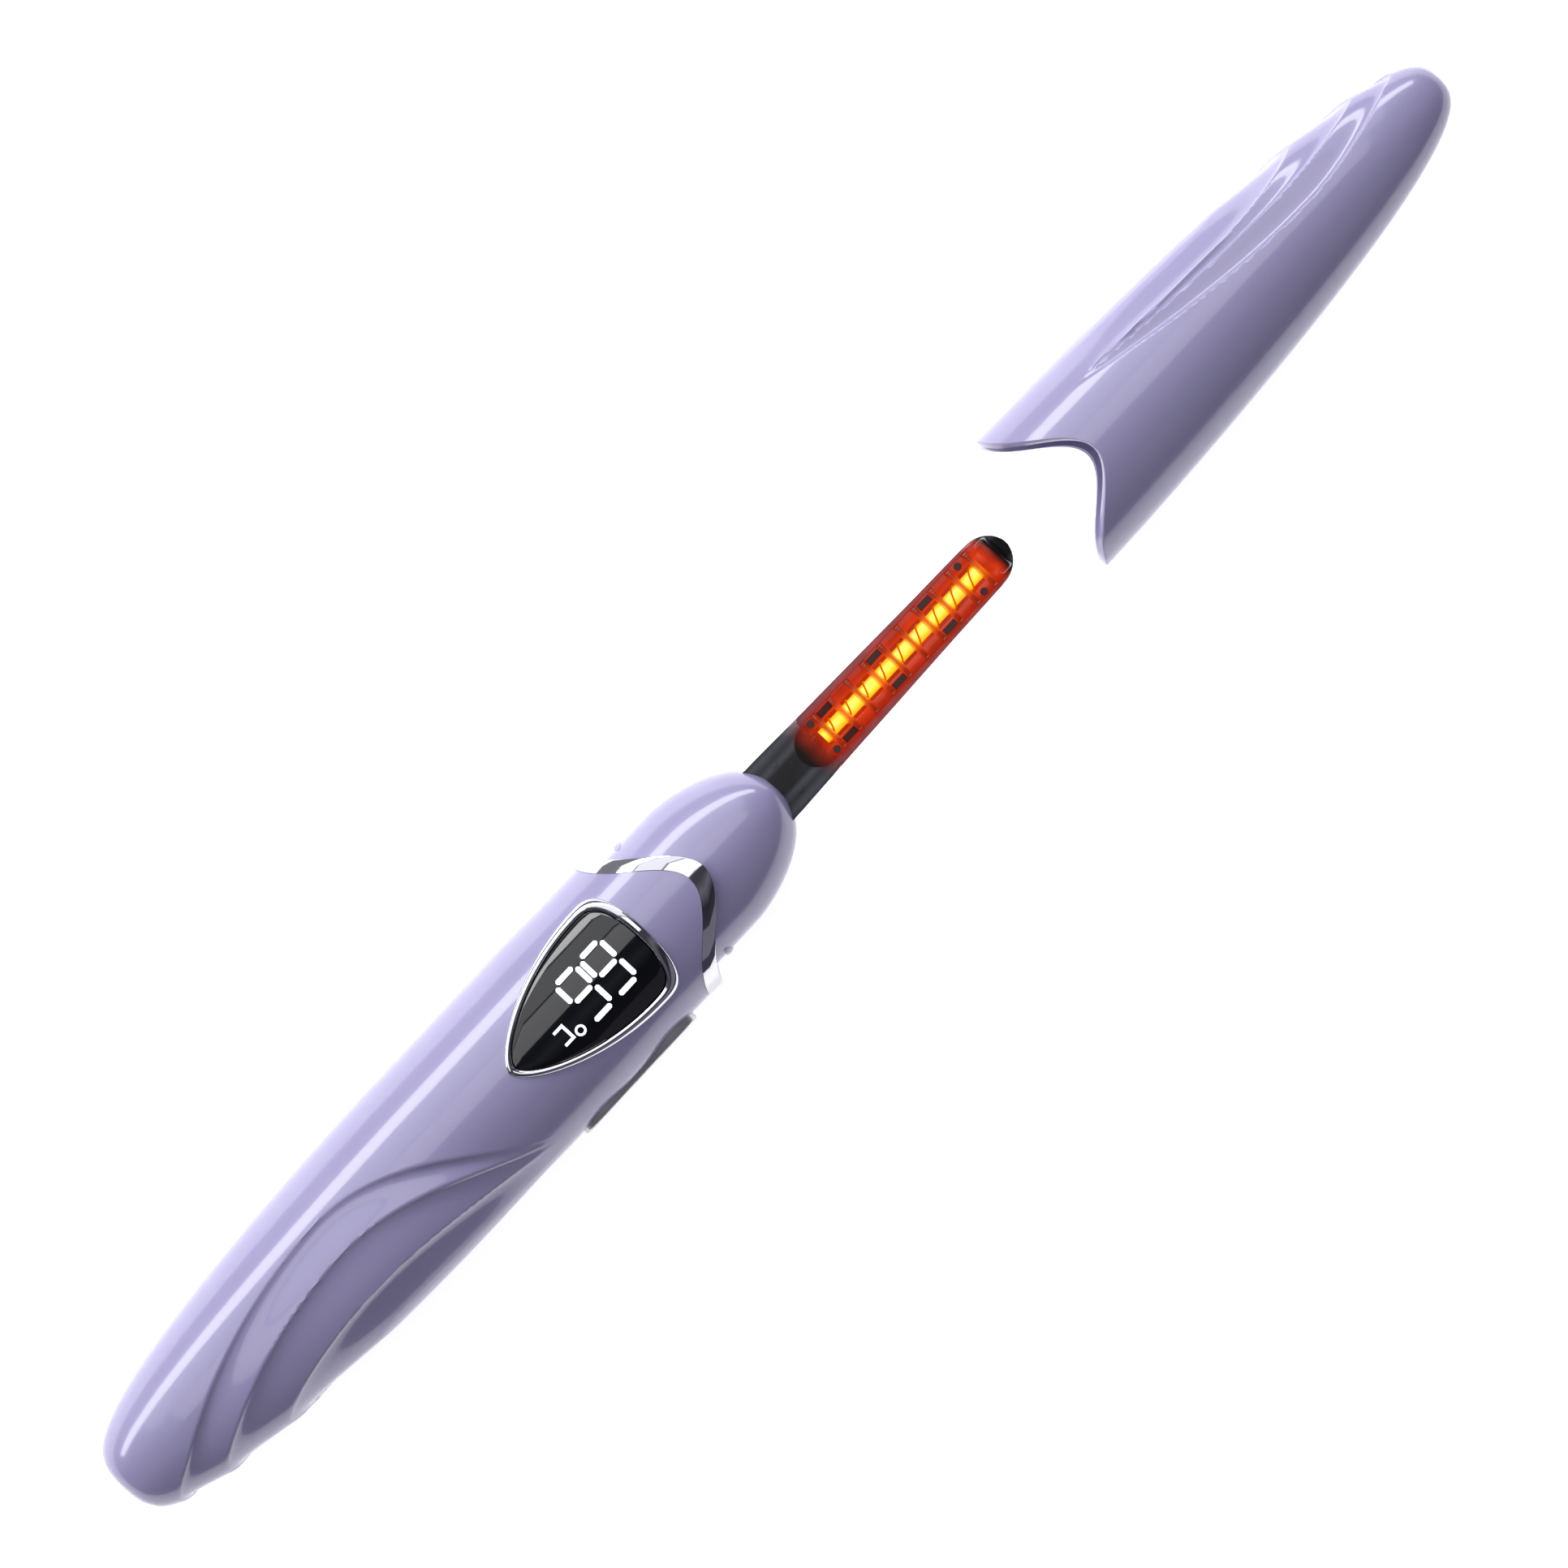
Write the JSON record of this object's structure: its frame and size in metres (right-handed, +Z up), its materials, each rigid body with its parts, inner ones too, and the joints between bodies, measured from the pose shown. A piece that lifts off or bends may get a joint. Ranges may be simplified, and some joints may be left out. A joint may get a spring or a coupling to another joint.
{
  "type": "heated eyelash curler",
  "caption": "Pen-shaped heated eyelash curler: oval petal-carved handle with display and rocker, curved ribbed heating comb, and a push-on cap.",
  "frame": {"origin": "on the table under the middle of the curler and its cap as they lie in line", "axes": "+Y along the curler from its tail to the comb and on to the cap, +Z up out of the display face, +X towards the rocker"},
  "size_m": [0.0213, 0.2113, 0.0174],
  "materials": {
    "lavender": "gloss",
    "chrome": "polished",
    "silver": "satin",
    "gloss_black": "gloss",
    "display_light": "lit white",
    "smoke": "translucent smoke",
    "dark_plastic": "satin",
    "heater": "glowing",
    "heater_wire": "glowing",
    "sensor": "gloss",
    "wire_insulation": "satin",
    "dark_insulation": "satin",
    "chassis_plastic": "matte",
    "circuit_board": "satin",
    "cell_wrap": "satin",
    "foam": "matte",
    "steel": "brushed",
    "plunger_plastic": "satin"
  },
  "bodies": {
    "handle": {"handle_shell": "lavender", "trim_band": "chrome", "head_housing": "lavender", "display_bezel": "chrome", "display_lens": "gloss_black", "display_digits": "display_light", "display_board": "circuit_board", "rocker_pin": "steel", "switch_bodies": "dark_plastic", "comb_back": "smoke", "comb_face": "smoke", "comb_pins": "dark_plastic", "heater_core": "heater", "heater_coil": "heater_wire", "heater_clips": "dark_plastic", "thermistor": "sensor", "heater_leads": "wire_insulation", "chassis": "chassis_plastic", "main_board": "circuit_board", "board_parts": "dark_plastic", "battery": "cell_wrap", "battery_pad": "foam", "battery_leads": "wire_insulation", "port_leads": "dark_insulation", "port_board": "circuit_board", "usb_port": "steel", "port_tongue": "dark_plastic", "head_screws": "steel", "chassis_screws": "steel"},
    "cap": {"cap_shell": "lavender"},
    "rocker": {"rocker_button": "silver"},
    "plunger_upper": {"switch_plunger_upper": "plunger_plastic"},
    "plunger_lower": {"switch_plunger_lower": "plunger_plastic"}
  },
  "joints": [
    {"name": "cap_slide", "type": "slide", "parent": "handle", "child": "cap", "axis": [0, -1, 0], "range_m": [0, 0.062]},
    {"name": "rocker_tilt", "type": "hinge", "parent": "handle", "child": "rocker", "pos_m": [0.007, -0.03395, 0.00848], "axis": [0, 0, 1], "range_deg": [-3, 3], "stiffness_Nm_per_rad": 0.002},
    {"name": "plunger_upper_press", "type": "slide", "parent": "handle", "child": "plunger_upper", "axis": [-1, 0, 0], "range_m": [0, 0.00025], "stiffness_N_per_m": 2},
    {"name": "plunger_lower_press", "type": "slide", "parent": "handle", "child": "plunger_lower", "axis": [-1, 0, 0], "range_m": [0, 0.00025], "stiffness_N_per_m": 2}
  ]
}
